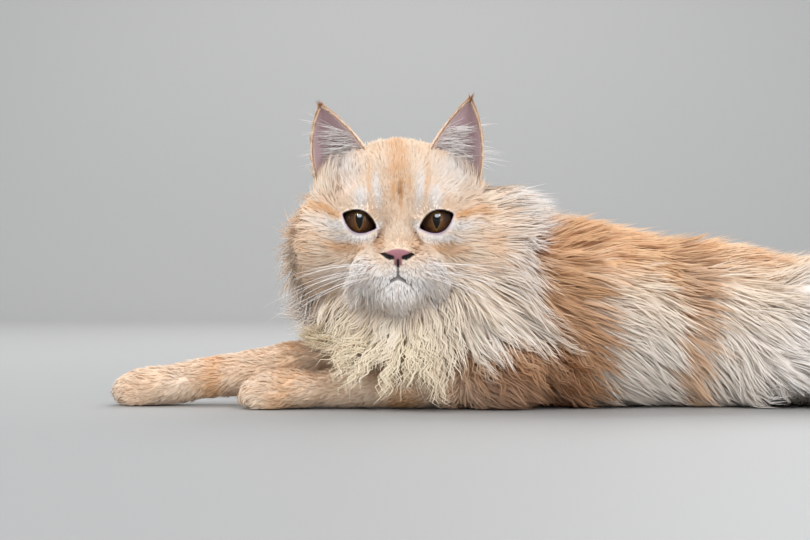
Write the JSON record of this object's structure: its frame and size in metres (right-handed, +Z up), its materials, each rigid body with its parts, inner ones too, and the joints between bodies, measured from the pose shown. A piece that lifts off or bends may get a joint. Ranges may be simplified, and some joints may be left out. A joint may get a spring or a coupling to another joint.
{
  "type": "persian cat",
  "caption": "Long-haired persian cat at rest, lying on its belly with forelegs stretched out and head turned to the viewer, as a still life-size model.",
  "frame": {"origin": "on the floor, at the middle of the underside of the cat's box", "axes": "+Z up; +X from the forepaws towards the tail; the face looks along -Y"},
  "size_m": [0.6284, 0.22, 0.1934],
  "materials": {
    "eye": "clear gloss over an amber-brown iris",
    "fur_head": "short soft fur, cream and orange, white at the muzzle",
    "ear": "thin pink skin with long white hairs",
    "fur_neck": "long soft ruff, white and cream",
    "fur_body": "long soft fur, cream with red-brown bands",
    "fur_foreleg": "short cream fur with faint orange bands",
    "fur_hindleg": "long white and cream fur",
    "fur_tail": "long full fur, orange and cream"
  },
  "bodies": {
    "root": {"eye_left": "eye", "eye_right": "eye", "head": "fur_head", "ear_left": "ear", "ear_right": "ear", "foreleg_left": "fur_foreleg", "foreleg_right": "fur_foreleg", "neck": "fur_neck", "hindleg_left": "fur_hindleg", "hindleg_right": "fur_hindleg", "tail_root": "fur_tail", "tail_middle": "fur_tail", "tail_tip": "fur_tail", "torso": "fur_body"}
  },
  "joints": []
}
